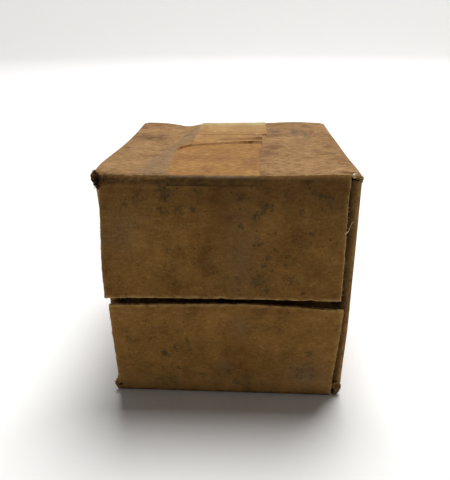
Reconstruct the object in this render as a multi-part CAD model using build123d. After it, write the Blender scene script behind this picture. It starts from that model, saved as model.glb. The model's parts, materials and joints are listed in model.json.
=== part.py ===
"""Rosin carton: a small slotted paperboard carton lying on its side, with a cake of rosin in a paper cup inside.

Frame: millimetres, +Z up, +X to the right and +Y from the open front to the taped back. The origin is the middle
of the face that the carton rests on. The sleeve is four panels and a glued lap. Each end has two outer flaps and
two inner dust flaps; the back end is taped shut and the front end is open, its flaps sprung slightly off their seat.
"""

import math
import os

from build123d import *

# Driving sizes of the carton, in millimetres and degrees
width = 54.0  # outside, left to right
depth = 58.0  # outside, over the closed outer flaps
height = 54.0  # outside, bottom to top
board = 0.6  # thickness of the paperboard
crease_radius = 0.9  # outside radius of every crease
hinge_gap = 0.08  # clearance at each crease that moves
flap_play = 0.15  # clearance between an outer flap and the dust flaps behind it

# Glued lap that closes the sleeve, inside the lower left corner
lap_width = 10.0
lap_setback = 4.5  # distance from the lap's ends to the dust flap creases
raw_edge_lift = 0.2  # height of the left panel's raw edge above the table

# Outer flaps: left and right margins to the carton's sides, length from the crease, tilt at rest
top_flap_margins = (0.6, 2.4)
bottom_flap_margins = (0.8, 2.6)
bottom_flap_length = 25.6
front_seam = 1.8  # gap between the two closed flaps
top_flap_rest = 7.5
bottom_flap_rest = 6.0
back_flap_margin = 1.2
back_seam = 1.0  # gap between the two taped flaps

# Dust flaps
dust_flap_seam = 3.0  # gap between the tips of a closed pair
dust_flap_margin = 1.4  # slot at each end of a dust flap, from the carton's outside
dust_flap_rest = 15.0  # how far past square the front pair is pushed in

# Clear adhesive tape along the top, in two strips
tape_width = 19.0
tape = 0.1  # thickness
front_strip_centre = -2.9
front_strip_turn = 2.0  # degrees off square, seen from above
back_strip_centre = -0.2
back_strip_run = 18.0  # from the back face to where the two strips meet
back_strip_end = 12.0  # height of the lower end of the back strip, on the back flaps
tape_tail = 1.8  # torn end left on the front flap

# Rosin cake and its fluted paper cup
cake_thickness = 22.0
cake_bevel = 1.2
cup_flutes = 48
flute_depth = 2.0  # over the outside of the paper
cup_paper = 0.4  # thickness of the paper, measured along the radius
cup_base = 0.5
cup_rim = 2.0  # how far the cup stands past the cake's face
cup_slack = 2.0  # how much wider the carton is inside than the cup
cup_play = 0.2  # clearance below and behind the cup

# Places that follow from the sizes
left, right = -width / 2, width / 2
front, back = -depth / 2, depth / 2
dust_front = front + board + flap_play  # outer face of a closed front dust flap
dust_back = back - board - flap_play
side_front = dust_front + board  # cut ends of the side panels, where the dust flaps turn
side_back = dust_back - board
lap_outer = left + board  # the lap lies against the inside of the left panel
top_flap_length = height - bottom_flap_length - front_seam
dust_flap_length = (width - dust_flap_seam) / 2
strip_seam = back - back_strip_run
cup_radius = (min(width, height) - 2 * board - cup_slack) / 2
cake_radius = cup_radius - flute_depth


def box_between(low, high):
    """A box from its lowest corner to its highest corner."""
    sizes = [b - a for a, b in zip(low, high)]
    return Pos(*low) * Box(*sizes, align=(Align.MIN, Align.MIN, Align.MIN))


def sheet_loop(low, high, plane, along):
    """A closed loop of board in a plane: rounded outside, sharp inside. It is extruded both ways by along / 2."""
    size = [b - a for a, b in zip(low, high)]
    middle = [(a + b) / 2 for a, b in zip(low, high)]
    outside = RectangleRounded(*size, crease_radius)
    inside = Rectangle(size[0] - 2 * board, size[1] - 2 * board)
    loop = plane * Pos(*middle) * (outside - inside)
    return extrude(loop, along / 2, both=True)


def mitre(low, high, side, plane, along, gap=0.0):
    """The wedge of one side of a loop, between the 45 degree planes through its corners. gap draws it back."""
    (x0, z0), (x1, z1) = low, high
    reach = min(x1 - x0, z1 - z0) / 3
    corners = {
        "top": [(x0 + gap, z1), (x1 - gap, z1), (x1 - reach, z1 - reach + gap), (x0 + reach, z1 - reach + gap)],
        "bottom": [(x0 + gap, z0), (x1 - gap, z0), (x1 - reach, z0 + reach - gap), (x0 + reach, z0 + reach - gap)],
        "low": [(x0, z0 + gap), (x0, z1 - gap), (x0 + reach - gap, z1 - reach), (x0 + reach - gap, z0 + reach)],
        "high": [(x1, z0 + gap), (x1, z1 - gap), (x1 - reach + gap, z1 - reach), (x1 - reach + gap, z0 + reach)],
    }[side]
    face = make_face(Polyline(*corners, close=True))
    return extrude(plane * face, along / 2, both=True)


# Sections across the sleeve (X and Z) and along it (Y and Z)
across = Plane.XZ
lengthways = Plane.YZ
sleeve_low, sleeve_high = (left, 0), (right, height)
lapped_low = (lap_outer, 0)  # the bottom panel stops inside the left panel
ends_low, ends_high = (front, 0), (back, height)


def top_panel():
    cross = sheet_loop(sleeve_low, sleeve_high, across, depth)
    cross &= mitre(sleeve_low, sleeve_high, "top", across, depth)
    length = sheet_loop(ends_low, ends_high, lengthways, width)
    return cross & length & mitre(ends_low, ends_high, "top", lengthways, width)


def bottom_panel():
    cross = sheet_loop(lapped_low, sleeve_high, across, depth)
    cross &= mitre(lapped_low, sleeve_high, "bottom", across, depth)
    length = sheet_loop(ends_low, ends_high, lengthways, width)
    return cross & length & mitre(ends_low, ends_high, "bottom", lengthways, width)


def with_folds(leaf, side):
    """A side panel whose ends turn in at the rounded creases of its dust flaps, between the slots."""
    middle = Pos(0, (dust_front + dust_back) / 2, height / 2)
    span = height - 2 * dust_flap_margin
    plan = RectangleRounded(width, dust_back - dust_front, crease_radius)
    core = Rectangle(width - 2 * board, side_back - side_front)
    rounded = middle * extrude(plan, height / 2, both=True)
    between_slots = middle * extrude(plan, span / 2, both=True)
    folds = middle * extrude(plan - core, span / 2, both=True)
    outer = side * width / 2
    inner = side * (width / 2 - crease_radius)
    near_side = box_between((min(outer, inner), dust_front, 0), (max(outer, inner), dust_back, height))
    squared = box_between((left, side_front, 0), (right, side_back, height))
    return (leaf & rounded & squared) + (leaf & between_slots) + (folds & near_side)


def right_panel():
    loop = sheet_loop(sleeve_low, sleeve_high, across, depth)
    return with_folds(loop & mitre(sleeve_low, sleeve_high, "high", across, depth), 1)


def left_panel():
    loop = sheet_loop(sleeve_low, sleeve_high, across, depth)
    side = loop & mitre(sleeve_low, sleeve_high, "low", across, depth)
    above = box_between((left, front, height / 2), (0, back, height))
    below = box_between((left, front, raw_edge_lift), (left + board, back, height / 2))
    return with_folds((side & above) + below, -1)


def glue_lap():
    loop = sheet_loop(lapped_low, sleeve_high, across, depth)
    lap = loop & mitre(lapped_low, sleeve_high, "low", across, depth)
    ends = (side_front + lap_setback, side_back - lap_setback)
    return lap & box_between((lap_outer, ends[0], 0), (0, ends[1], lap_width))


def outer_flap(end, edge, margins, length, gap):
    """A closed outer flap. end is front or back, edge is top or bottom: the crease it hangs from."""
    side = "low" if end == "front" else "high"
    loop = sheet_loop(ends_low, ends_high, lengthways, width)
    leaf = loop & mitre(ends_low, ends_high, side, lengthways, width, gap)
    z = (height - length, height) if edge == "top" else (0, length)
    x = (left + margins[0], right - margins[1])
    return leaf & box_between((x[0], front, z[0]), (x[1], back, z[1]))


def dust_flap(side, outer_face, inward, gap):
    """A square dust flap. inward is the direction along Y into the carton."""
    z = (dust_flap_margin, height - dust_flap_margin)
    y = sorted((outer_face, outer_face + inward * board))
    root = width / 2 - crease_radius - gap
    tip = width / 2 - dust_flap_length
    x = sorted((side * root, side * tip))
    return box_between((x[0], y[0], z[0]), (x[1], y[1], z[1]))


def turned(shape, point, direction, angle):
    """The shape turned about a line through point."""
    return shape.rotate(Axis(point, direction), angle)


def tape_front_strip():
    flat_end = front + crease_radius
    strip = box_between((-tape_width / 2, flat_end, 0), (tape_width / 2, strip_seam, tape))
    turn = Pos(front_strip_centre, 0, height) * Rot(Z=-front_strip_turn)
    limits = box_between((left, flat_end, height), (right, strip_seam, height + tape))
    longer = box_between((-tape_width / 2, flat_end - tape_width, 0), (tape_width / 2, back, tape))
    return (turn * (strip + longer)) & limits


def tape_back_strip():
    """Along the top, over the rounded back edge and down across the seam of the back flaps."""
    outer = RectangleRounded(depth + 2 * tape, height + 2 * tape, crease_radius + tape)
    inner = RectangleRounded(depth, height, crease_radius)
    band = extrude(lengthways * Pos(0, height / 2) * (outer - inner), tape_width / 2, both=True)
    run = box_between((left, strip_seam, back_strip_end), (right, back + tape, height + tape))
    return Pos(back_strip_centre, 0, 0) * (band & run)


def tape_tail_piece():
    """The torn end that stays on the front flap, on its closed outer face."""
    top = height - crease_radius
    low = (front_strip_centre - tape_width / 2, front - tape, top - tape_tail)
    return box_between(low, (front_strip_centre + tape_width / 2, front, top))


cup_axis_height = board + cup_play + cup_radius
cup_back = side_back - cup_play
cake_back = cup_back - cup_base
cake_front = cake_back - cake_thickness


def barrel(radius, y0, y1):
    """A cylinder along Y on the cup's axis."""
    disc = Plane(origin=(0, y0, cup_axis_height), x_dir=(1, 0, 0), z_dir=(0, 1, 0)) * Circle(radius)
    return extrude(disc, y1 - y0)


def rosin_cake():
    cake = barrel(cake_radius, cake_front, cake_back)
    rims = cake.edges().filter_by(GeomType.CIRCLE)
    return chamfer(rims, cake_bevel)


def fluted(crest, root):
    """The section of the cup's wall: a closed zigzag between two radii, in the XZ plane."""
    points = []
    for i in range(2 * cup_flutes):
        turn = math.pi * i / cup_flutes
        radius = root if i % 2 else crest
        points.append((radius * math.cos(turn), radius * math.sin(turn)))
    return make_face(Polyline(*points, close=True))


def paper_cup():
    wall = fluted(cup_radius, cake_radius + cup_paper) - fluted(cup_radius - cup_paper, cake_radius)
    section = Plane(origin=(0, cake_front - cup_rim, cup_axis_height), x_dir=(1, 0, 0), z_dir=(0, 1, 0))
    sleeve = extrude(section * wall, cup_back - cake_front + cup_rim)
    return sleeve + barrel(cake_radius + cup_paper / 2, cake_back, cup_back)


def parts():
    """Every node's solid at rest, by name."""
    top_hinge, bottom_hinge = (0, front, height), (0, front, 0)
    left_hinge = (left + crease_radius, side_front, 0)
    right_hinge = (right - crease_radius, side_front, 0)
    top_flap = outer_flap("front", "top", top_flap_margins, top_flap_length, hinge_gap)
    bottom_flap = outer_flap("front", "bottom", bottom_flap_margins, bottom_flap_length, hinge_gap)
    left_dust = dust_flap(-1, dust_front, 1, hinge_gap)
    right_dust = dust_flap(1, dust_front, 1, hinge_gap)
    back_margins = (back_flap_margin, back_flap_margin)
    back_length = (height - back_seam) / 2
    x_axis, z_axis = (1, 0, 0), (0, 0, 1)
    return {
        "top_panel": top_panel(),
        "right_panel": right_panel(),
        "bottom_panel": bottom_panel(),
        "left_panel": left_panel(),
        "glue_lap": glue_lap(),
        "front_top_flap": turned(top_flap, top_hinge, x_axis, -top_flap_rest),
        "front_bottom_flap": turned(bottom_flap, bottom_hinge, x_axis, bottom_flap_rest),
        "front_left_dust_flap": turned(left_dust, left_hinge, z_axis, dust_flap_rest),
        "front_right_dust_flap": turned(right_dust, right_hinge, z_axis, -dust_flap_rest),
        "back_top_flap": outer_flap("back", "top", back_margins, back_length, 0),
        "back_bottom_flap": outer_flap("back", "bottom", back_margins, back_length, 0),
        "back_left_dust_flap": dust_flap(-1, dust_back, -1, 0),
        "back_right_dust_flap": dust_flap(1, dust_back, -1, 0),
        "tape_front_strip": tape_front_strip(),
        "tape_back_strip": tape_back_strip(),
        "tape_tail": turned(tape_tail_piece(), top_hinge, x_axis, -top_flap_rest),
        "paper_cup": paper_cup(),
        "rosin_cake": rosin_cake(),
    }


os.makedirs("parts", exist_ok=True)
for name, shape in parts().items():
    export_step(shape, f"parts/{name}.step")
    print(name, round(sum(s.volume for s in shape.solids()), 2), "mm3")
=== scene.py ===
# %% [markdown]
# # An old rosin carton
# A cake of rosin is sold in a small folding carton. This one is old: the board has gone brown, mould has
# spotted it, one corner is crushed, and a strip of clear tape has yellowed and wrinkled along the top.
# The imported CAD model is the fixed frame. Everything here is built around it, in metres, in the same place.

# %% The frame
import json
import math
from functools import partial
import bmesh
import bpy
import numpy as np
from mathutils import Matrix, Vector, noise


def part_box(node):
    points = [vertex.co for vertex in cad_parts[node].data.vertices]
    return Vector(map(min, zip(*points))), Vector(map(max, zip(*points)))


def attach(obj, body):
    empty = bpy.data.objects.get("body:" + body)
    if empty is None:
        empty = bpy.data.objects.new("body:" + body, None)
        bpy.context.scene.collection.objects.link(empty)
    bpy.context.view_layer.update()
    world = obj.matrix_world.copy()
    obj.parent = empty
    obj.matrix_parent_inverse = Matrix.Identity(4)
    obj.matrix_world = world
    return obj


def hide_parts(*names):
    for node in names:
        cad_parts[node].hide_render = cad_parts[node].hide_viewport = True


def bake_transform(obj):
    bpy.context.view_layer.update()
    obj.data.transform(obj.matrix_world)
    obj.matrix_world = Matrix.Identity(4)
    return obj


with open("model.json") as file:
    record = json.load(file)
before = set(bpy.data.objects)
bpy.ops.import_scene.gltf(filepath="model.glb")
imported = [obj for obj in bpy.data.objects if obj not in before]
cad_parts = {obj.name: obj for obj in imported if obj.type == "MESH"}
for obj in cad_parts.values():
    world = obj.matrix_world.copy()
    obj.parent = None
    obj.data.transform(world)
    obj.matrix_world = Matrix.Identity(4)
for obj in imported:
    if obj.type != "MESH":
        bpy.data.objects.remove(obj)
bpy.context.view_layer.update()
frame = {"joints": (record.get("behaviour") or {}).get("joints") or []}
joints = {joint["name"]: joint for joint in frame["joints"]}

# %% [markdown]
# The carton's sizes come from the frame, in millimetres, because paper and board are thought of in
# millimetres. A flap's crease is its hinge, and its rest tilt is how far its hinge is from closed.

# %% Sizes from the frame, in millimetres
MM = 0.001


def box_mm(node):
    low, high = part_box(node)
    return np.array(low) / MM, np.array(high) / MM


hinge_mm = np.array(joints["top_flap_crease"]["pos_m"]) / MM
left, right = box_mm("left_panel")[0][0], box_mm("right_panel")[1][0]
front, height = hinge_mm[1], hinge_mm[2]
back = box_mm("back_top_flap")[1][1]
width, depth = right - left, back - front
board = box_mm("back_top_flap")[1][1] - box_mm("back_top_flap")[0][1]
crease = 1.5 * board  # outside radius of a crease
top_tilt = math.radians(-joints["top_flap_crease"]["range_deg"][0])
bottom_tilt = math.radians(-joints["bottom_flap_crease"]["range_deg"][0])
dust_tilt = math.radians(-joints["left_dust_flap_crease"]["range_deg"][0])
print(f"carton {width:.1f} x {depth:.1f} x {height:.1f} mm, board {board:.2f} mm")

# %% [markdown]
# The camera stands a little right of the middle, about 10 cm from the open end, and looks down at it.
# It is made first, so that every piece can be judged from where it will be seen.

# %% Camera
EYE_MM = Vector((3.37, -129.1, 83.7))
YAW, PITCH, ROLL = math.radians(2.28), math.radians(23.41), math.radians(-0.33)
LENS = 38.58

sight = Vector((-math.sin(YAW) * math.cos(PITCH), math.cos(YAW) * math.cos(PITCH), -math.sin(PITCH)))
level = Vector((math.cos(YAW), math.sin(YAW), 0))
upright = level.cross(sight)
across = level * math.cos(ROLL) + upright * math.sin(ROLL)
upward = upright * math.cos(ROLL) - level * math.sin(ROLL)
camera_data = bpy.data.cameras.new("camera")
camera = bpy.data.objects.new("camera", camera_data)
bpy.context.scene.collection.objects.link(camera)
camera.matrix_world = Matrix.Translation(EYE_MM * MM) @ Matrix((across, upward, -sight)).transposed().to_4x4()
camera_data.lens = LENS
camera_data.sensor_width = 36
camera_data.clip_start, camera_data.clip_end = 0.005, 20
bpy.context.scene.camera = camera
print("camera", round((EYE_MM * MM).length, 3), "m from the origin")

# %% [markdown]
# Blender's operators act on whatever is selected. Loading the frame leaves its nodes selected, so each
# piece starts by clearing the selection. Edges and vertices are then picked in code, by where they are.

# %% Picking
def clear_selection():
    if bpy.context.object and bpy.context.object.mode != "OBJECT":
        bpy.ops.object.mode_set(mode="OBJECT")
    bpy.ops.object.select_all(action="DESELECT")


def begin(name, shape, **settings):
    """Adds one of Blender's simple meshes to work from, and names it."""
    clear_selection()
    getattr(bpy.ops.mesh, f"primitive_{shape}_add")(**settings)
    piece = bpy.context.object
    piece.name = piece.data.name = name
    return piece


def pick(kind, wanted):
    """In edit mode, selects the vertices, edges or faces for which wanted() is true and nothing else."""
    mesh = bmesh.from_edit_mesh(bpy.context.object.data)
    bpy.ops.mesh.select_mode(type={"verts": "VERT", "edges": "EDGE", "faces": "FACE"}[kind])
    bpy.ops.mesh.select_all(action="DESELECT")
    chosen = [element for element in getattr(mesh, kind) if wanted(element)]
    for element in chosen:
        element.select_set(True)
    mesh.select_flush_mode()
    bmesh.update_edit_mesh(bpy.context.object.data)
    return len(chosen)


def middle(edge):
    return (edge.verts[0].co + edge.verts[1].co) / 2


def along(edge):
    return edge.verts[1].co - edge.verts[0].co


def select_only(piece):
    clear_selection()
    piece.select_set(True)
    bpy.context.view_layer.objects.active = piece


def flip(piece):
    """Turns a piece's faces to look the other way."""
    select_only(piece)
    bpy.ops.object.mode_set(mode="EDIT")
    bpy.ops.mesh.select_all(action="SELECT")
    bpy.ops.mesh.flip_normals()
    bpy.ops.object.mode_set(mode="OBJECT")


def use_modifier(piece, kind, **settings):
    """Adds a modifier, sets it and applies it."""
    select_only(piece)
    modifier = piece.modifiers.new(kind.lower(), kind)
    for name, value in settings.items():
        setattr(modifier, name, value)
    bpy.ops.object.modifier_apply(modifier=modifier.name)


def places(piece):
    """The vertices' places in millimetres, one row each."""
    flat = np.zeros(len(piece.data.vertices) * 3)
    piece.data.vertices.foreach_get("co", flat)
    return flat.reshape(-1, 3) / MM


def put(piece, where_mm):
    piece.data.vertices.foreach_set("co", (np.asarray(where_mm) * MM).ravel())
    piece.data.update()


def ripple(where_mm, grain_mm, seed=0.0):
    """Smooth noise from about -1 to 1 at each place. Its bumps are about grain_mm across."""
    scaled = np.asarray(where_mm) / np.asarray(grain_mm) + seed
    return np.array([noise.noise(Vector(point)) for point in scaled])


def hill(value, centre, spread):
    """A smooth hill of height 1 at centre. It has faded to a third at spread."""
    return np.exp(-(((value - centre) / spread) ** 2))


def ramp(value, start, end):
    """0 before start, 1 after end, and smooth between them."""
    share = np.clip((value - start) / (end - start), 0, 1)
    return share * share * (3 - 2 * share)

# %% [markdown]
# A board leaf is made as a carton plant makes it: a flat strip, then a turn at each score. An edge is
# pushed straight along the flat runs and spun round the creases. The long edges are then subdivided, so
# that the board can dent. It stays one layer of faces until it has been bent, and gets its thickness last.

# %% Folding a strip of board
CREASE_STEPS = 6
FLAT_BY_SEAM = 0.6  # flat board kept beyond a crease, so that two leaves meet on a flat
NEAR, NEAR_EDGE = 0.01, 0.05  # how close to a seam, or to a cut edge, a point counts as on it


def turn_at(corner, before, after):
    """How a path turns at a corner: (tangent length, centre, axis, angle in radians)."""
    inward, outward = (corner - before).normalized(), (after - corner).normalized()
    angle, axis = inward.angle(outward), inward.cross(outward).normalized()
    tangent = crease * math.tan(angle / 2)
    return tangent, corner - inward * tangent + axis.cross(inward) * crease, axis, angle


def push_edge(way):
    bpy.ops.mesh.extrude_region_move(TRANSFORM_OT_translate={"value": way * MM})


def spin_edge(centre, axis, angle):
    bpy.ops.mesh.spin(steps=CREASE_STEPS, angle=-angle, center=centre * MM, axis=axis)


def strip(name, stops, side, pitch=0.6):
    """One layer of faces: the edge from the first stop along side is carried through the other stops, in
    millimetres, and turns round a crease at each one between."""
    stops, side = [Vector(stop) for stop in stops], Vector(side)
    piece = begin(name, "plane", size=1, enter_editmode=True)
    turns = [turn_at(stops[i], stops[i - 1], stops[i + 1]) for i in range(1, len(stops) - 1)]
    lead = stops[1] - stops[0]
    if turns:
        lead = lead - lead.normalized() * turns[0][0]
    mesh = bmesh.from_edit_mesh(piece.data)
    corners = (stops[0], stops[0] + side, stops[0] + lead, stops[0] + side + lead)
    for vertex, corner in zip(mesh.verts, corners):
        vertex.co = corner * MM
    across_runs = side.normalized()
    pick("edges", lambda edge: abs(along(edge).normalized().dot(across_runs)) > 0.99)
    bpy.ops.mesh.subdivide(number_cuts=max(1, round(side.length / pitch) - 1))
    tip = (stops[0] + lead) * MM
    pick("edges", lambda edge: (middle(edge) - tip).cross(across_runs).length < 1e-7)
    runs = [lead]
    for i, (tangent, centre, axis, angle) in enumerate(turns):
        spin_edge(centre, axis, angle)
        onward = stops[i + 2] - stops[i + 1]
        spent = tangent + (turns[i + 1][0] if i + 1 < len(turns) else 0)
        runs.append(onward - onward.normalized() * spent)
        push_edge(runs[-1])
    for length in {round(run.length, 4) for run in runs}:
        cuts = round(length / pitch) - 1
        if cuts > 0:
            pick("edges", lambda edge: abs(along(edge).length / MM - length) < 1e-3
                 and abs(along(edge).normalized().dot(across_runs)) < 0.5)
            bpy.ops.mesh.subdivide(number_cuts=cuts)
    bpy.ops.mesh.select_all(action="SELECT")
    bpy.ops.mesh.remove_doubles(threshold=1e-6)
    bpy.ops.object.mode_set(mode="OBJECT")
    first = piece.data.polygons[0]  # its faces have to look away from the carton's middle
    if first.normal.dot(first.center - Vector((0, 0, height / 2 * MM))) < 0:
        flip(piece)
    return piece

# %% [markdown]
# The carton has been squeezed, so no panel is flat any more. One function moves every leaf, so that
# neighbours still meet: the bottom of the open end is twisted, the top is humped at the back right and
# dented along a line left of the tape, the upper left side bulges and both sides splay a little.

# %% Crushing the carton
def crush(where):
    x, y, z = where.T.copy()
    from_front = np.clip((y - front) / depth, 0, 1)
    high = ramp(z, height - 16, height)
    low = 1 - np.clip(z / height, 0, 1)
    valley_x = -20.0 + 6.2 * from_front  # the dent drifts right towards the back
    valley = hill(x, valley_x, 1.6 + 2.2 * from_front) * (0.25 + 0.6 * from_front)
    at_back = 0.4 * hill(x, 18, 9) + 0.2 * hill(x, -26, 6) + 0.15  # the hump at the back right
    at_front = 0.15 + 0.45 * hill(x, -21, 7) + 0.55 * ramp(x, 8, 26)  # and both front corners
    lift = at_back * from_front ** 2 + at_front * (1 - from_front) ** 3 - valley
    bulge = -1.7 * hill(y, -18, 15) * ramp(y, front - 1, front + 5) * ramp(-x, 12, 27)
    splay = (0.35 * ramp(x, 12, 27) - (0.1 + 0.45 * from_front) * ramp(-x, 12, 27)) * ramp(z, 3, 20)
    twist = (-0.1 - 0.016 * x) * low * (1 - from_front)
    # the lower right corner is pushed in, and the lower left one is pinched just above the table
    tuck = -1.3 * ramp(x, 24, 27) * (1 - np.clip(z / 2.8, 0, 1)) * hill(y, front, 6)
    tip = -0.55 * hill(z, 2.6, 0.9) * hill(y, front, 2.5) * ramp(-x, 25.5, 27)
    loose = ramp(z, 0.5, 8)  # the face that rests on the table stays flat
    moved = where.copy()
    moved[:, 0] += bulge * high + splay + tuck + tip + 0.1 * ripple(where, 15, 3.1) * loose
    moved[:, 1] += twist + 0.12 * ripple(where, 14, 7.7) * loose
    moved[:, 2] += lift * high + 0.1 * ripple(where, 9, 1.3) * loose
    return moved


def soften_front(where, hinge_z, amount):
    """Rounds the front crease at hinge_z by amount(x) millimetres, as handling does."""
    from_crease = np.hypot(where[:, 1] - front, where[:, 2] - hinge_z)
    give = amount * hill(from_crease, 0, 1.7)
    towards_middle = 1 if hinge_z == 0 else -1
    where[:, 1] += give * 0.7
    where[:, 2] += give * 0.7 * towards_middle
    return where

# %% [markdown]
# A leaf keeps a note of where each point lay before it was crushed. The board's pattern follows that
# note, so grain and stains run on from leaf to leaf and stay put when a flap swings.

# %% Finishing a leaf
def note_rest(piece, where):
    note = piece.data.attributes.new("rest", "FLOAT_VECTOR", "POINT")
    note.data.foreach_set("vector", (where * MM).ravel())


def thicken(piece, materials, thickness=board, worn_edge=0.14, even=True):
    """Gives one layer of faces the board's thickness on its inner side, with cut edges that are worn round.
    An even thickness throws spikes where a sheet is crumpled, so torn board does without it."""
    for material in materials:
        piece.data.materials.append(material)
    use_modifier(piece, "SOLIDIFY", thickness=thickness * MM, offset=-1, use_even_offset=even,
                 material_offset=1, material_offset_rim=2)
    use_modifier(piece, "BEVEL", width=worn_edge * MM, segments=2, limit_method="ANGLE",
                 angle_limit=math.radians(60), material=2, use_clamp_overlap=True)
    smooth(piece, 40)


def smooth(piece, angle):
    select_only(piece)
    bpy.ops.object.shade_smooth_by_angle(angle=math.radians(angle))


def ragged(where, edge, way, amount, grain_mm):
    """Moves the chosen edge points to and fro along way, as a worn cut edge."""
    where[edge] += np.outer(ripple(where[edge], grain_mm, 5.5) * amount, way)
    return where

# %% [markdown]
# Colours are sRGB hex values, as a paint chart gives them, and one function turns them to linear. One more
# adds a node, sets it and links it. Every pattern starts from the noted rest place, in millimetres.

# %% Colours and nodes
SMOOTH, TIMES, PLUS = {"interpolation_type": "SMOOTHSTEP"}, {"operation": "MULTIPLY"}, {"operation": "ADD"}


def hex_colour(text):
    """An sRGB hex colour as the linear RGBA that Blender's nodes take."""
    channels = [int(text[i:i + 2], 16) / 255 for i in (1, 3, 5)]
    return [c / 12.92 if c <= 0.04045 else ((c + 0.055) / 1.055) ** 2.4 for c in channels] + [1.0]


def add(tree, kind, inputs=(), out=0, **settings):
    """Adds a node and gives its output. inputs holds values, hex colours or outputs to link, in the order of
    the sockets or under their names or numbers."""
    made = tree.nodes.new("ShaderNode" + kind)
    for name, value in settings.items():
        setattr(made, name, value)
    for key, value in inputs.items() if isinstance(inputs, dict) else enumerate(inputs):
        if isinstance(value, bpy.types.NodeSocket):
            tree.links.new(value, made.inputs[key])
        else:
            made.inputs[key].default_value = hex_colour(value) if isinstance(value, str) else value
    return made.outputs[out] if made.outputs else None


def new_material(name):
    """An empty material, and the function that adds a node to it."""
    material = bpy.data.materials.new(name)
    material.use_nodes = True
    material.node_tree.nodes.clear()
    return material, partial(add, material.node_tree)


def rest_mm(node, stretch=(1, 1, 1)):
    """The noted rest place in millimetres, divided by stretch: a pattern on it is that much longer."""
    note = node("Attribute", out="Vector", attribute_name="rest")
    return node("VectorMath", (note, [1 / MM / share for share in stretch]), **TIMES)


def grain(node, size_mm, detail=2.0, roughness=0.5, seed=0.0, stretch=(1, 1, 1)):
    """Noise from 0 to 1 on the rest place. Its bumps are about size_mm across, times stretch."""
    settings = {"W": seed, "Scale": 1 / size_mm, "Detail": detail, "Roughness": roughness}
    return node("TexNoise", {"Vector": rest_mm(node, stretch), **settings}, noise_dimensions="4D")


def specks(node, spacing_mm, largest, seed_turn=0.0, start=0.55):
    """Round specks, one in a cell of spacing_mm at most. Their sizes differ, and the share start has none."""
    turned = node("Mapping", {0: rest_mm(node), 2: (0.3, 0.5, seed_turn)})
    cells = node("TexVoronoi", {"Vector": turned, "Scale": 1 / spacing_mm}, "Color", feature="F1")
    reach = node("MapRange", (node("SeparateColor", (cells,)), start, 1, 0, largest), **SMOOTH)
    reach = node("Math", (reach, 0.0001), **PLUS)  # never quite 0, as it divides
    edge = node("Math", (cells.node.outputs["Distance"], reach), operation="DIVIDE")
    return node("MapRange", (edge, 1, 0.55), **SMOOTH)


def lay(node, colour, *rows):
    """Lays colours over the first, a row at a time. A row is (share, colour), and perhaps a way to mix. Its
    share is an output, a painted fault's name, or (value, low, high, most) for a smooth rise."""
    for share, over, *way in rows:
        if isinstance(share, str):
            share = node("Attribute", out="Fac", attribute_name=share)
        elif isinstance(share, tuple):
            value, low, high, most = share
            share = node("MapRange", (value, low, high, 0, most), **SMOOTH)
        colour = node("Mix", {0: share, 6: colour, 7: over}, 2, data_type="RGBA", blend_type=(*way, "MIX")[0])
    return colour

# %% [markdown]
# The board is chipboard made from waste paper: short fibres, a little longer along the machine's way, and
# darker bits of rubbish. Age browned it unevenly. Where it was damp, mould grew: grey-green rounds that are
# really crowds of dots, and black pin-prick spots in swarms. It is matt, so its gloss is low.
# The same recipe is used for every face. Only its colours and how much of each fault it has differ.

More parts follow.
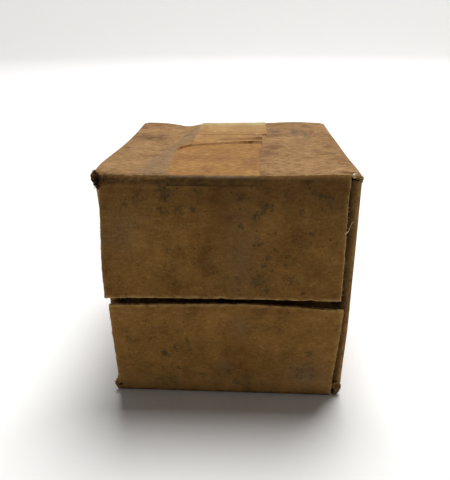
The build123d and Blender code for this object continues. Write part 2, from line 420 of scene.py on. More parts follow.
# %% Chipboard
def chipboard(name, pale, middle_tone, dark, mould="#3c3923", mouldiness=1.0, fibre_mm=(1.3, 0.6, 0.6),
              streak=0.5):
    material, node = new_material(name)
    clouds, patches = grain(node, 10, 3, 0.55), grain(node, 3.2, 3, 0.6, 4.0)
    tone = node("Math", (node("Math", (clouds, 0.55), **TIMES), node("Math", (patches, 0.45), **TIMES)), **PLUS)
    streaks = grain(node, 1.0, 4, 0.65, 9.0, fibre_mm)
    fuzz = grain(node, 0.36, 3, 0.7, 2.0)
    colour = lay(node, dark, ((tone, 0.37, 0.5, 1), middle_tone), ((tone, 0.5, 0.63, 1), pale),
                 ((streaks, 0.58, 0.36, streak), "#4b3218", "MULTIPLY"),
                 ((streaks, 0.52, 0.72, 0.5 * streak), "#d9b982"),
                 ((fuzz, 0.5, 0.32, 0.24), "#3e2812", "MULTIPLY"), ((fuzz, 0.54, 0.7, 0.12), "#d8b376"),
                 ("warm", "#6b3f16"), ("haze", "#6f6353"))
    # mould: rounds where it was damp and where it is painted, each made of a crowd of dots
    damp = node("MapRange", (grain(node, 12, 1, 0.4, 7.0), 0.4, 0.62), **SMOOTH)
    rounds = node("MapRange", (grain(node, 2.3, 1, 0.4, 6.0), 0.58, 0.75), **SMOOTH)
    rounds = node("Math", (rounds, damp), **TIMES)
    in_places = node("Attribute", out="Fac", attribute_name="mould")
    crowd = node("Math", (node("Math", (rounds, 0.55 * mouldiness), **TIMES), in_places), **PLUS)
    dots = node("Math", (grain(node, 0.55, 2, 0.6, 3.0), 0.5), operation="SUBTRACT")
    crowd = node("Math", (crowd, node("Math", (dots, 2.2), **TIMES)), **PLUS)
    growth = node("MapRange", (crowd, 0.15, 1.05, 0, 0.8), **SMOOTH)
    held = node("MapRange", (node("Math", (rounds, in_places), **PLUS), 0.03, 0.25), **SMOOTH)
    swarm = node("MapRange", (grain(node, 7, 2, 0.5, 8.0), 0.38, 0.55), **SMOOTH)
    pricks = node("Math", (specks(node, 0.95, 0.27, start=0.5), swarm), **TIMES)
    spots = specks(node, 2.6, 0.15, 0.9, start=0.6)
    colour = lay(node, colour, (node("Math", (growth, held), **TIMES), mould),
                 (node("Math", (pricks, 0.75 * mouldiness), **TIMES), "#2c1e10"),
                 (node("Math", (spots, 0.55 * mouldiness), **TIMES), mould),
                 ("soot", "#1c1610"), ("worn", "#c29c63"))
    bump = node("Bump", {"Strength": 0.8, "Distance": 0.05 * MM, "Height": fuzz})
    wrinkles = grain(node, 1.0, 2, 0.5, 12.0, [5 * share for share in fibre_mm])
    bump = node("Bump", {"Strength": 0.8, "Distance": 0.25 * MM, "Height": wrinkles, "Normal": bump})
    node("OutputMaterial", (node("BsdfPrincipled", {"Base Color": colour, "Roughness": 0.92,
                                                    "Specular IOR Level": 0.1, "Normal": bump}),))
    return material


LONG_FIBRES = (1.6, 0.62, 0.62)  # along the machine's way, where the light brings the grain out
# the top's colours are paler and greyer than the other faces', partly as painted sheen of the board seen low
# across it
top_face_with_sheen = chipboard("aged_chipboard_top", "#b0885f", "#9f7b53", "#866243", "#5c5444", 0.35, LONG_FIBRES, 0.38)
front_face = chipboard("aged_chipboard_front", "#8f6734", "#805b2c", "#6c4b23", streak=0.16)
side_face = chipboard("aged_chipboard_side", "#8a683a", "#7a5930", "#644727", mouldiness=0.7, streak=0.22)
inside_face = chipboard("raw_chipboard_inside", "#8d7451", "#7f6747", "#6b553a", mouldiness=0.2, streak=0.3)
cut_edge = chipboard("chipboard_cut_edge", "#e2c07e", "#caa465", "#98733c", mouldiness=0.3, streak=0.8)
print("board finishes", [material.name for material in bpy.data.materials if "chipboard" in material.name])

# %% [markdown]
# Faults that lie in a known place are painted: each point of a leaf gets a share of mould, warmth, haze,
# soot or wear, worked out from where it lay. In some places the soot, warmth and haze shares are painted
# shade and shadow, and the wear share is painted light and highlights. A fault is a soft round, or a band with
# soft sides.

# %% Painting
FAULTS = ("mould", "warm", "haze", "soot", "worn")


def paint(piece, **shares):
    for name in FAULTS:
        layer = piece.data.attributes.new(name, "FLOAT", "POINT")
        values = np.clip(shares.get(name, np.zeros(len(piece.data.vertices))), 0, 1)
        layer.data.foreach_set("value", values.astype(np.float32))


def rounds_at(first, second, rounds):
    """The strongest of several soft rounds. Each is (place one, place two, radius, strength)."""
    worst = np.zeros(len(first))
    for one, two, radius, strength in rounds:
        far = np.hypot(first - one, second - two) / radius
        worst = np.maximum(worst, strength * (1 - ramp(far, 0.45, 1.25)))
    return worst


def broken(values, rest, grain_mm, seed, least=0.35):
    """Breaks up an even fault with noise, so that its edge is uneven."""
    return values * (least + (1 - least) * ramp(ripple(rest, grain_mm, seed), -0.35, 0.3))

# %% [markdown]
# A leaf is one strip, noted, painted, crushed, shaped and thickened, in that order. It rides on its body
# and stands for its CAD node. A flap of the open end takes its crease with it.

# %% Making a leaf
board_faces = (top_face_with_sheen, inside_face, cut_edge)
front_faces = (front_face, inside_face, cut_edge)
side_faces = (side_face, inside_face, cut_edge)


def leaf(name, node, stops, side, materials, shape=None, faults=None, pitch=0.6, body="carton"):
    piece = strip(name, stops, side, pitch)
    rest = places(piece)
    note_rest(piece, rest)
    paint(piece, **(faults(rest) if faults else {}))
    where = crush(rest)
    if shape:
        where = shape(where, rest)
    put(piece, where)
    thicken(piece, materials)
    if body:
        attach(piece, body)
    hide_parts(node)
    print(name, len(piece.data.polygons), "faces")
    return piece


def bend_at_crease(piece):
    """Bakes the flap's placement into its mesh. Its crease is part of its strip."""
    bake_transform(piece)

# %% Where the leaves meet
top_low, top_high = box_mm("front_top_flap")
low_low, low_high = box_mm("front_bottom_flap")
top_turn, bottom_turn = [
    turn_at(Vector((0, front, z)), Vector((0, 0, z)),
            Vector((0, front - math.sin(tilt), z + into * math.cos(tilt))))[0]
    for z, tilt, into in ((height, top_tilt, -1), (0, bottom_tilt, 1))]
top_seam, bottom_seam = front + top_turn + FLAT_BY_SEAM, front + bottom_turn + FLAT_BY_SEAM
back_seam = back - crease - FLAT_BY_SEAM
skirt = crease + FLAT_BY_SEAM  # how far a top or bottom leaf comes round onto the side panels
dust_z = box_mm("front_left_dust_flap")[0][2], box_mm("front_left_dust_flap")[1][2]
dust_back = box_mm("back_left_dust_flap")[1][1]


def dust_corner(side):
    """Where a front dust flap's outer face meets its side panel's, seen from above, and the flap's tip."""
    pivot = np.array(joints[("left" if side < 0 else "right") + "_dust_flap_crease"]["pos_m"]) / MM
    onward = np.array((-side * math.cos(dust_tilt), math.sin(dust_tilt)))
    outward = np.array((-side * math.sin(dust_tilt), -math.cos(dust_tilt)))
    face = pivot[:2] + board * outward
    share = (side * width / 2 - face[0]) / onward[0]
    corner = face + onward * share
    return corner, face + onward * (abs(pivot[0]) - dust_reach)


dust_reach = abs(box_mm("back_right_dust_flap")[0][0])
print("seams", round(top_seam, 2), round(bottom_seam, 2), round(back_seam, 2), "dust flap", dust_corner(1))

# %% [markdown]
# ## Top panel
# The top has gone brown evenly, as it faced the light; its colours are paler and greyer than the front's, partly
# as painted sheen of the board seen low across it. A grey haze lies along the dent left of the tape, where an
# older strip came off. There is a hollow at the left, darkened with painted shade, and three faded ink smudges
# at the right, which carry no lettering. Painted shade also darkens the rounded front edge at the left and a
# slit at the right corner.

# %% Top panel
def soft_crease(x):
    """How far the front crease has been rounded: most at the left, least under the tape."""
    return 0.15 + 0.75 * (1 - ramp(x, -15, -12)) + 0.6 * ramp(x, 8, 22)


def shape_top(where, rest):
    x, y = rest[:, 0], rest[:, 1]
    where = soften_front(where, height, soft_crease(x))
    beside_flap = (x < top_low[0] - NEAR) | (x > top_high[0] + NEAR)
    where[beside_flap & (y < top_seam + NEAR), 1] -= 1.0  # the board runs on past the seam beside the flap
    return where


def top_faults(rest):
    x, y = rest[:, 0], rest[:, 1]
    share = (y - front) / depth
    haze_left, haze_right = -19.5 + 8.5 * share, -12.8 + 3.0 * ramp(y, 0, 8)
    haze = ramp(x, haze_left - 0.8, haze_left + 1.2) * (1 - ramp(x, haze_right - 0.4, haze_right + 0.4))
    # painted shade: in the hollow at the left, along the rounded front edge at the left, and in a slit at the
    # right front corner
    hollow_shade = hill(x, -21.8, 4.0) * hill(y, 6.8, 2.4)
    ink = 1.0 * hill(x, 17, 0.9) * hill(y, 14.5, 5.5) + 0.8 * hill(x, 19.8, 0.8) * hill(y, 12.5, 4)
    ink += 0.7 * hill(x, 11.8, 1.6) * hill(y, 17, 4)
    edges = ramp(np.abs(x), 25.6, 27) + 0.6 * ramp(-y, 26.5, 28)
    front_edge_shade = ramp(-y, 25, 28) * (1 - ramp(x, -14, -12))
    slit_shadow = 2.0 * hill(y + 0.25 * (x - 24), -26.6, 0.45) * ramp(x, 21.8, 24)
    return {
        "haze": broken(0.42 * haze + 0.85 * ink, rest, (0.9, 3.5, 3.5), 2.0, 0.5),
        "soot": broken(0.12 * ink + 0.62 * hollow_shade + 0.35 * front_edge_shade + slit_shadow, rest, (1.6, 0.8, 1), 8.0, 0.3),
        "mould": broken(0.5 * ink, rest, (0.8, 2.5, 1), 4.0, 0.3),
        "worn": broken(0.3 * edges, rest, 1.1, 6.0, 0.1),
    }


leaf("top_board", "top_panel",
     [(left, top_seam, height - skirt), (left, top_seam, height), (right, top_seam, height),
      (right, top_seam, height - skirt)], (0, back_seam - top_seam, 0), board_faces, shape_top, top_faults, 0.5)

# %% [markdown]
# ## Front top flap
# This flap carries the most mould. A sooty band runs along its top edge, where hands and dust met, and
# painted shade darkens the upper part of the flap towards that edge. A damp run in the middle has gone
# reddish, and the lower left has yellowed.

# %% Front top flap
TOP_FLAP_ROUNDS = [
    (-18, 50, 2.0, 0.35), (-13, 50.5, 2.3, 0.5), (-13.2, 47, 1.8, 0.4), (-10, 47.2, 1.2, 0.55),
    (-7.1, 47.2, 0.8, 0.75), (-6, 51, 1.1, 0.35), (-12.4, 42.7, 0.6, 0.5), (-12.5, 38.6, 1.0, 0.4),
    (-22, 42.5, 2.6, 0.25), (3, 50, 1.0, 0.45), (6, 46.2, 1.1, 0.55), (8.2, 47.6, 1.8, 0.4),
    (2.9, 44, 0.9, 0.6), (16, 53, 0.7, 0.6), (15.3, 46.3, 1.3, 0.38), (20, 48.5, 2.2, 0.35),
    (17.5, 42.3, 0.8, 0.55), (17.4, 40.5, 0.6, 0.6), (6.3, 40.3, 1.8, 0.45), (10, 42.6, 0.38, 1.0),
    (10, 39.1, 0.5, 0.8), (8.9, 37.3, 0.8, 0.65), (7.9, 35.6, 0.9, 0.7), (7.4, 32.2, 2.6, 0.48),
    (8.6, 29.7, 0.9, 0.55), (14.2, 32.3, 2.0, 0.5), (12.6, 35.8, 0.8, 0.5), (16.4, 29.3, 0.8, 0.5),
    (-6.5, 36, 1.2, 0.3), (-12, 35, 2.3, 0.25), (0, 32.5, 0.9, 0.3),
]  # (x, z, radius, strength)
NICKS_X = (-1.0, 13.0, 18.0)  # along the free edge


def top_flap_faults(rest):
    x, z = rest[:, 0], rest[:, 2]
    band = ramp(z, 52.4, 53.2) * (0.25 + 0.75 * (1 - ramp(x, -13, -10))) * (1 - ramp(x, -2, 6))
    band += 0.8 * hill(z, 52.6, 0.35) * (1 - ramp(x, 0, 4))
    # darker towards the top edge, which is painted shade, and a little darker in the middle and to the right
    shade_near_top = 0.26 * ramp(z, 41, 52) + 0.12 * hill(x, 1, 6) + 0.1 * ramp(x, -6, 8)
    run = hill(x, -1.3, 2.6) * ramp(z, 33, 46)
    damp = hill(x, 3.0, 3.6) * hill(z, 38, 9)
    yellow = hill(x, -17, 7) * hill(z, 29.5, 2.2)
    edges = ramp(-x, 25.7, 26.5) + ramp(x, 23.9, 24.6) + ramp(-z, -28.4, -27.7)
    return {
        "mould": broken(1.35 * rounds_at(x, z, TOP_FLAP_ROUNDS), rest, 1.0, 3.0, 0.6) + 0.16 * ramp(z, 44, 52),
        "soot": broken(0.42 * band, rest, (0.6, 0.5, 0.5), 1.0, 0.35) + shade_near_top,
        "warm": 0.24 * run + 0.12 * yellow,
        "haze": 0.22 * damp + 0.2 * hill(x, -22, 4) * hill(z, 43, 5),
        "worn": broken(0.42 * edges, rest, 1.3, 6.0, 0.2),
    }


def rough_sides(where, rest, low, high):
    for side in (rest[:, 0] < low[0] + NEAR, rest[:, 0] > high[0] - NEAR):
        where = ragged(where, side, (1, 0, 0), 0.12, 1.6)
    return where


def shape_top_flap(where, rest):
    x, z = rest[:, 0], rest[:, 2]
    where = soften_front(where, height, soft_crease(x))
    down = (height - z) / (height - top_low[2])
    where[:, 0] -= 0.3 * down + 0.3 * hill(z, 36, 9) * ramp(-x, 18, 27)
    where[:, 0] -= 0.3 * ramp(x, 19, 24) * ramp(height - z, 1.5, 5)
    where = ragged(where, z < top_low[2] + NEAR_EDGE, (0, 0, 1), 0.12, 1.4)
    for nick in NICKS_X:
        where[:, 2] += 0.3 * hill(x, nick, 0.45) * ramp(down, 0.94, 1)
    trim = 0.4 - 0.15 * ramp(x, 5, 24) - 0.35 * ramp(-x, 20, 26)
    where[:, 2] += trim * ramp(down, 0.7, 1)
    return rough_sides(where, rest, top_low, top_high)


top_end = (top_low[0], front - (height - top_low[2]) * math.tan(top_tilt), top_low[2])
top_flap = leaf("front_top_flap_board", "front_top_flap",
                [(top_low[0], top_seam, height), (top_low[0], front, height), top_end],
                (top_high[0] - top_low[0], 0, 0), front_faces, shape_top_flap, top_flap_faults, 0.4, None)
bend_at_crease(top_flap)

# %% [markdown]
# ## Front bottom flap
# Its free edge bows: the middle leans back and stands higher than the corners. A rusty stain runs down
# its middle, and something curved has scratched it near the right.

# %% Front bottom flap
BOTTOM_FLAP_ROUNDS = [
    (-23, 18.7, 0.9, 0.4), (-17, 19.5, 1.3, 0.35), (-12, 18.6, 1.1, 0.4), (-9.5, 16, 0.9, 0.4),
    (-12, 13.5, 1.4, 0.55), (-15.2, 11.8, 1.0, 0.5), (-9, 13, 0.7, 0.5), (-20, 8.6, 0.8, 0.4),
    (-12, 7.4, 0.8, 0.6), (-14, 3.6, 2.6, 0.4), (-6, 5.2, 1.1, 0.35), (0, 6.7, 1.0, 0.5),
    (-0.5, 12.8, 1.8, 0.35), (7, 22.2, 0.9, 0.4), (17.7, 19.4, 0.8, 0.5), (12.7, 12.3, 0.6, 0.5),
    (18, 12.8, 1.3, 0.35), (16.3, 7.2, 2.2, 0.4), (8.2, 3.2, 1.0, 0.5), (4.5, 1.5, 1.4, 0.5),
    (22, 22.5, 1.3, 0.35),
]  # (x, z, radius, strength)


def bottom_flap_faults(rest):
    x, z = rest[:, 0], rest[:, 2]
    rust = hill(x, 0.8 + 0.1 * (18 - z), 3.0) * hill(z, 14.5, 6)
    sharp_rust = rounds_at(x, z, [(3.1, 13.6, 0.9, 1.0), (3.0, 9.0, 0.8, 0.9), (-0.5, 11.5, 0.8, 0.6)])
    scratch = hill(np.hypot(x - 17.6, z - 12.0), 2.3, 0.16) * ramp(-z, -11, -10) * ramp(x, 16.4, 17.4)
    foot = ramp(-z, -6, 0)
    edges = ramp(-x, 25.5, 26.2) + ramp(x, 23.6, 24.4) + ramp(z, 24.7, 25.3)
    haze = 0.25 * hill(x, 2.5, 2) * hill(z, 19.5, 3) + 0.35 * hill(x, 18, 5) * hill(z, 6, 4)
    return {
        "mould": broken(1.35 * rounds_at(x, z, BOTTOM_FLAP_ROUNDS), rest, 1.0, 3.5, 0.6)
        + 0.14 * hill(z, 3, 2.5) * ramp(-x, -6, 3),
        # the dark line along the foot is a painted shadow, where the flap meets the table
        "soot": broken(0.8 * ramp(-z, -1.2, -0.5), rest, (1.5, 1, 1), 2.5, 0.3) + 0.5 * scratch,
        "warm": 0.25 * rust + 0.7 * broken(sharp_rust, rest, 0.8, 3.0, 0.5) + 0.12 * hill(x, 3, 12) * foot,
        "haze": haze + 0.3 * hill(x, -1, 1.5) * hill(z, 8, 2.5),
        # the paler band about 3 mm up the flap is painted light; the edges' wear is real
        "worn": broken(0.4 * edges, rest, 1.3, 6.5, 0.2) + 0.14 * hill(z, 3.2, 2.6),
    }


def shape_bottom_flap(where, rest):
    x, z = rest[:, 0], rest[:, 2]
    up = z / low_high[2]
    bow = 0.45 - (x / 25.5) ** 2
    where = soften_front(where, 0, np.full(len(rest), -0.15))
    where[:, 2] = np.maximum(where[:, 2], 0)
    where[:, 0] += 0.4 * up - 0.35 * ramp(-x, 15, 26)
    where[:, 1] += np.maximum(1.3 * up ** 2 * bow, -0.25)  # no further, or it would sink into the table when open
    where[:, 2] += ramp(up, 0.6, 1) * (0.7 * bow + 0.5 * ramp(-x, 8, 24))
    where = ragged(where, z > low_high[2] - NEAR_EDGE, (0, 0, 1), 0.1, 1.8)
    return rough_sides(where, rest, low_low, low_high)


bottom_end = (low_low[0], front - low_high[2] * math.tan(bottom_tilt), low_high[2])
bottom_flap = leaf("front_bottom_flap_board", "front_bottom_flap",
                   [(low_low[0], bottom_seam, 0), (low_low[0], front, 0), bottom_end],
                   (low_high[0] - low_low[0], 0, 0), front_faces, shape_bottom_flap, bottom_flap_faults, 0.4,
                   None)
bend_at_crease(bottom_flap)

# %% [markdown]
# ## Sides, bottom and lap
# The side panels start below the top's rounded edge. The bottom panel turns up inside the left panel as the
# glued lap, so the left panel's lower edge is a raw cut that almost touches the table.

# %% Sides, bottom and lap
RAW_EDGE_Z = box_mm("left_panel")[0][2]
corner_y = dust_corner(1)[0][1]
dust_turn = turn_at(Vector((right, corner_y, 0)), Vector((right, 0, 0)),
                    Vector((*dust_corner(1)[1], 0)))[0]
side_seam = corner_y + dust_turn + FLAT_BY_SEAM
side_back = dust_back - crease - FLAT_BY_SEAM


def side_faults(rest):
    y, z = rest[:, 1], rest[:, 2]
    edges = 0.5 * ramp(z, height - 2.5, height - 0.8) + 0.4 * ramp(-z, -2, -0.3)
    return {
        "worn": broken(edges, rest, 1.5, 4.0, 0.2),
        "soot": broken(0.3 * ramp(-z, -7, 0) + 0.12 * hill(y, -5, 9) * hill(z, 20, 9), rest, 3.0, 6.0, 0.2),
        "mould": broken(0.45 * ramp(ripple(rest, 7, 9.0), 0.05, 0.5), rest, 1.3, 2.0, 0.3),
        "warm": 0.25 * ramp(ripple(rest, 13, 5.0), 0.0, 0.6),
    }


for name, x, low in (("right_board", right, skirt), ("left_board", left, RAW_EDGE_Z)):
    leaf(name, name.replace("board", "panel"), [(x, side_seam, low), (x, side_back, low)],
         (0, 0, height - skirt - low), side_faces, None, side_faults, 0.7)
leaf("bottom_board", "bottom_panel",
     [(left + board, bottom_seam, skirt), (left + board, bottom_seam, 0), (right, bottom_seam, 0),
      (right, bottom_seam, skirt)], (0, back_seam - bottom_seam, 0), side_faces, None, side_faults, 0.8)
lap_low, lap_high = box_mm("glue_lap")
leaf("glue_lap_board", "glue_lap", [(left + board, lap_low[1], skirt), (left + board, lap_high[1], skirt)],
     (0, 0, lap_high[2] - skirt), side_faces, None, None, 1.2)

# %% [markdown]
# ## Dust flaps
# The two small flaps fold in behind the outer ones. Each takes its rounded crease with it, and rests
# pushed in. The gap beside the outer flaps shows the right one's crease.

# %% Front dust flaps
def dust_faults(rest):
    aside, z = np.abs(rest[:, 0]), rest[:, 2]
    # soot here is painted shadow: where the outer flaps stand off the dust flap, in the black slit beside them,
    # and behind the gap between them
    gap_shadow = 0.75 * hill(aside, 23.9, 1.9) * (1 - ramp(aside, 25.3, 26.3))
    return {
        "worn": broken(0.35 * ramp(aside, 25.8, 26.8), rest, 1.2, 4.0, 0.1),
        "soot": broken(gap_shadow, rest, 2.0, 2.0, 0.8) + 0.2 * hill(aside, 24.6, 0.6)
        + 0.7 * hill(z, 26.8, 2.0) * (1 - ramp(aside, 24.5, 26)),
        "warm": 0.15 * ramp(ripple(rest, 9, 5.0), 0.0, 0.6),
        "mould": broken(0.3 * ramp(ripple(rest, 5, 9.0), 0.1, 0.5), rest, 1.3, 2.0, 0.3),
    }


for side, word in ((-1, "left"), (1, "right")):
    corner, tip = dust_corner(side)
    flap = leaf(f"front_{word}_dust_flap_board", f"front_{word}_dust_flap",
                [(side * width / 2, side_seam, dust_z[0]), (*corner, dust_z[0]), (*tip, dust_z[0])],
                (0, 0, dust_z[1] - dust_z[0]), side_faces, None, dust_faults, 0.6, None)
    turn = turn_at(Vector((*corner, 0)), Vector((corner[0], 0, 0)), Vector((*tip, 0)))[0]
    onward = (Vector((*tip, 0)) - Vector((*corner, 0))).normalized()
    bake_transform(flap)

# %% [markdown]
# ## Back flaps
# The back is taped shut. Its outer flaps meet at a seam halfway up, with the dust flaps behind them.

# %% Back flaps
def back_faults(rest):
    x, z = rest[:, 0], rest[:, 2]
    from_seam = np.abs(z - height / 2)
    edges = 0.4 * (1 - ramp(from_seam, 0.5, 1.2)) + 0.4 * ramp(np.abs(x), 25, 25.8)
    return {
        "worn": broken(edges, rest, 1.4, 3.0, 0.2),
        "mould": broken(0.5 * ramp(ripple(rest, 6, 3.0), 0.05, 0.5), rest, 1.2, 7.0, 0.3),
        "soot": broken(0.3 * ramp(-z, -6, 0) + 0.25 * (1 - ramp(from_seam, 0.3, 2)), rest, 2.5, 6.0, 0.3),
        "warm": 0.25 * ramp(ripple(rest, 12, 8.0), 0.0, 0.6),
    }


for word, hinge_z, end in (("top", height, 0), ("bottom", 0, 1)):
    low, high = box_mm(f"back_{word}_flap")
    end_z = (low, high)[end][2]
    leaf(f"back_{word}_flap_board", f"back_{word}_flap",
         [(low[0], back_seam, hinge_z), (low[0], back, hinge_z), (low[0], back, end_z)],
         (high[0] - low[0], 0, 0), side_faces,
         lambda where, rest: ragged(where, np.abs(rest[:, 2] - end_z) < NEAR_EDGE, (0, 0, 1), 0.14, 1.6),
         back_faults, 0.7)
for side, word in ((-1, "left"), (1, "right")):
    leaf(f"back_{word}_dust_flap_board", f"back_{word}_dust_flap",
         [(side * width / 2, side_back, dust_z[0]), (side * width / 2, dust_back, dust_z[0]),
          (side * dust_reach, dust_back, dust_z[0])], (0, 0, dust_z[1] - dust_z[0]), side_faces, None,
         back_faults, 0.8)

# %% [markdown]
# ## Crushed corners and loose fibres
# Where a corner has been knocked, the board delaminates: its layers open like a torn mouth, with a frayed
# pale rim. The dark inside of the top left mouth and the black slot in each are painted shade. Each mouth is
# a small round sheet, pressed into a dish or a bump and crumpled. Loose fibres are hair-thin curves made into
# a mesh, and the flaps' edges shed the most.

# %% Torn corners
# its dark colours are painted shade: the inside of the torn mouth, in its own shadow
torn_inside_shade = chipboard("torn_chipboard", "#6a4220", "#452a12", "#211308", mouldiness=0.05, streak=0.2)
TORN_GRID = 26  # squares along a torn sheet, fine enough to crumple


def torn_mouth(name, centre, half_width, half_height, depth_mm, seed, way, slot, finish):
    """A dish of torn board whose open side looks against way, or a bump where depth_mm is below 0. centre is
    the middle of its rim. slot is where a black slot is painted as shadow and the sheet is pushed in a little
    further: its middle and half size, as shares."""
    piece = begin(name, "grid", x_subdivisions=TORN_GRID, y_subdivisions=TORN_GRID, size=2)
    square = places(piece) * MM
    v = square[:, 1] * np.sqrt(1 - square[:, 0] ** 2 / 2)
    u = square[:, 0] * np.sqrt(1 - square[:, 1] ** 2 / 2) * (1 + 0.3 * v)
    out = np.hypot(u, v)
    bumps = np.column_stack((u * half_width, np.zeros(len(u)), v * half_height))
    fray = 1 + 0.16 * out ** 3 * ripple(bumps, 0.55, seed)
    # painted shadow: the black of the slot, where the board has split open
    slot_shadow = 1 - ramp(np.hypot((u - slot[0]) / slot[2], (v - slot[1]) / slot[3]), 0.7, 1.2)
    deep = depth_mm * (1 - out ** 2.2) + 0.3 * slot_shadow
    deep += 0.3 * ripple(bumps, 0.7, seed + 4) + 0.15 * ripple(bumps, 0.3, seed + 7)
    inward = Vector(way).normalized()
    sideways = inward.cross(Vector((0, 0, 1))).normalized()
    where = np.array(centre) + np.outer(u * half_width * fray, sideways) + np.outer(deep, inward)
    where += np.outer(v * half_height * fray, (0, 0, 1))
    note_rest(piece, where)
    paint(piece, soot=0.95 * slot_shadow, worn=0.3 * ramp(out, 0.82, 0.98) * ramp(v, 0.3, 0.9))
    put(piece, where)
    if piece.data.polygons[0].normal.dot(inward) > 0:
        flip(piece)
    thicken(piece, (finish, side_face, finish), 0.22, 0.05, even=False)
    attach(piece, "carton")


torn_mouth("torn_top_left", (left + 0.25, front - 0.45, height - 0.5), 1.15, 1.95, 0.6, 1.0, (0.35, 1, 0.1),
           (-0.1, -0.25, 0.55, 0.6), torn_inside_shade)
torn_mouth("torn_top_right", (right - 0.3, front + 0.6, height - 0.35), 0.75, 0.7, -0.35, 2.0, (-0.3, 1, -0.2),
           (-0.7, -0.2, 0.3, 0.3), side_face)
torn_mouth("torn_bottom_left", (left + 0.3, front + 0.1, 1.75), 0.95, 1.5, -0.2, 3.0, (0.3, 1, 0),
           (0.5, 0.1, 0.36, 0.66), side_face)
torn_mouth("torn_bottom_right", (right - 1.35, front - 0.1, 1.8), 1.3, 1.8, -0.2, 5.0, (-0.1, 1, 0),
           (-0.5, -0.35, 0.3, 0.5), side_face)

# %% Loose fibres
# torn fibres were never in the light, so they are paler than the board; the lifted flake is near white, which
# paints a glint on the corner
fibre_finish = chipboard("loose_paper_fibre", "#d9c193", "#c6a873", "#9a7a48", mouldiness=0.1, streak=0.3)
flake_glint_white = chipboard("bleached_paper_flake", "#fffaf0", "#fff8ea", "#f0e6d2", mouldiness=0.0, streak=0.05)
FIBRE_TIP = 0.4  # a fibre tapers to this share of its thickness
FIBRE_PLACES = (0, 0.35, 0.7, 1.0)  # its points, as shares of its length
TUFT_FIBRES = 14
chance = np.random.default_rng(11)


def fibre_line(root, way, length, curl):
    """Four points of a curling fibre, in millimetres. It curls away from the carton, not through it."""
    way = np.array(way, float) / np.linalg.norm(way)
    bend = np.cross(way, chance.normal(size=3))
    bend[1] = -abs(bend[1])
    bend = bend / np.linalg.norm(bend)
    return [np.array(root) + way * length * t + bend * curl * length * t * t for t in FIBRE_PLACES]


def fibres(name, lines, body, thickness, material=fibre_finish):
    curve = bpy.data.curves.new(name, "CURVE")
    curve.dimensions, curve.bevel_depth, curve.bevel_resolution = "3D", thickness / 2 * MM, 0
    curve.use_fill_caps = True
    for line in lines:
        spline = curve.splines.new("POLY")
        spline.points.add(len(line) - 1)
        for point, where in zip(spline.points, line):
            point.co = (*(np.array(where) * MM), 1)
        spline.points[-1].radius = FIBRE_TIP
    piece = bpy.data.objects.new(name, curve)
    bpy.context.scene.collection.objects.link(piece)
    select_only(piece)
    bpy.ops.object.convert(target="MESH")
    piece = bpy.context.object
    piece.data.materials.clear()
    piece.data.materials.append(material)
    note_rest(piece, places(piece))
    paint(piece)
    smooth(piece, 60)
    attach(piece, body)
    print(name, len(lines), "fibres")


def edge_points(piece, wanted, count):
    """Places on a finished leaf whose noted rest place passes wanted, picked by chance."""
    note = np.zeros(len(piece.data.vertices) * 3)
    piece.data.attributes["rest"].data.foreach_get("vector", note)
    chosen = np.flatnonzero(wanted(note.reshape(-1, 3) / MM))
    return places(piece)[chance.choice(chosen, count)]


def shed(piece, wanted, way, count, longest):
    """Fibres that stick out along way, more or less, and forward."""
    lines = []
    for root in edge_points(piece, wanted, count):
        turned = np.array(way) + chance.normal(size=3) * 0.55
        turned[1] = -abs(turned[1])
        lines.append(fibre_line(root, turned, chance.uniform(0.15, longest), chance.uniform(0.1, 0.7)))
    return lines


def shed_sides(piece, low, high, wanted, counts, longest):
    """Fibres on a flap's right and left sides, where wanted() is true of a place's height."""
    on_right = shed(piece, lambda r: (r[:, 0] > high[0] - 0.1) & wanted(r[:, 2]), (1, 0, 0), counts[0], longest)
    on_left = shed(piece, lambda r: (r[:, 0] < low[0] + 0.1) & wanted(r[:, 2]), (-1, 0, 0), counts[1], 0.4)
    return on_right + on_left


top_lines = shed(top_flap, lambda r: r[:, 2] < top_low[2] + 0.1, (0, 0, -1), 60, 0.45)
top_lines += shed_sides(top_flap, top_low, top_high, lambda z: z < height - 3, (34, 30), 0.5)
hair = [(top_high[0] - 0.4, front - 1.75, height - 11.2), (top_high[0] + 0.15, front - 1.95, height - 10.6),
        (top_high[0] + 0.5, front - 1.8, height - 9.6), (top_high[0] + 0.75, front - 1.7, height - 8.9),
        (top_high[0] + 1.15, front - 1.6, height - 8.6)]
fibres("top_flap_fibres", top_lines, "front_top_flap", 0.05)
fibres("long_hair", [hair, [(x - 0.06, y, z - 0.2) for x, y, z in hair[:4]]], "front_top_flap", 0.14)
bottom_lines = shed(bottom_flap, lambda r: r[:, 2] > low_high[2] - 0.1, (0, 0, 1), 60, 0.45)
bottom_lines += shed_sides(bottom_flap, low_low, low_high, lambda z: z > 3, (28, 28), 0.4)
fibres("bottom_flap_fibres", bottom_lines, "front_bottom_flap", 0.05)
CORNERS = (((left - 0.3, front + 0.1, height + 0.9), (-0.5, -0.4, 0.8), 16, 0.5),
           ((left - 0.1, front + 0.2, height - 1.8), (-1, -0.3, -0.4), 12, 0.5),
           ((right - 0.2, front + 0.6, height + 0.2), (0.5, -0.3, 1), 14, 0.7),
           ((left + 0.1, front + 0.4, 2.6), (-1, -0.3, 0.4), 12, 0.7),
           ((right - 1.7, front + 1.0, 0.6), (0.6, -0.5, -0.1), 8, 0.5))
corner_lines = []
for place, way, count, longest in CORNERS:
    for _ in range(count):
        root = np.array(place) + chance.normal(size=3) * (0.3, 0.2, 0.35)
        root[2] = max(root[2], 0.35)
        turned = np.array(way) + chance.normal(size=3) * 0.5
        corner_lines.append(fibre_line(root, turned, chance.uniform(0.2, longest), chance.uniform(0.1, 0.6)))
tuft = (right - 1.4, front + 1.2, height + 0.35)
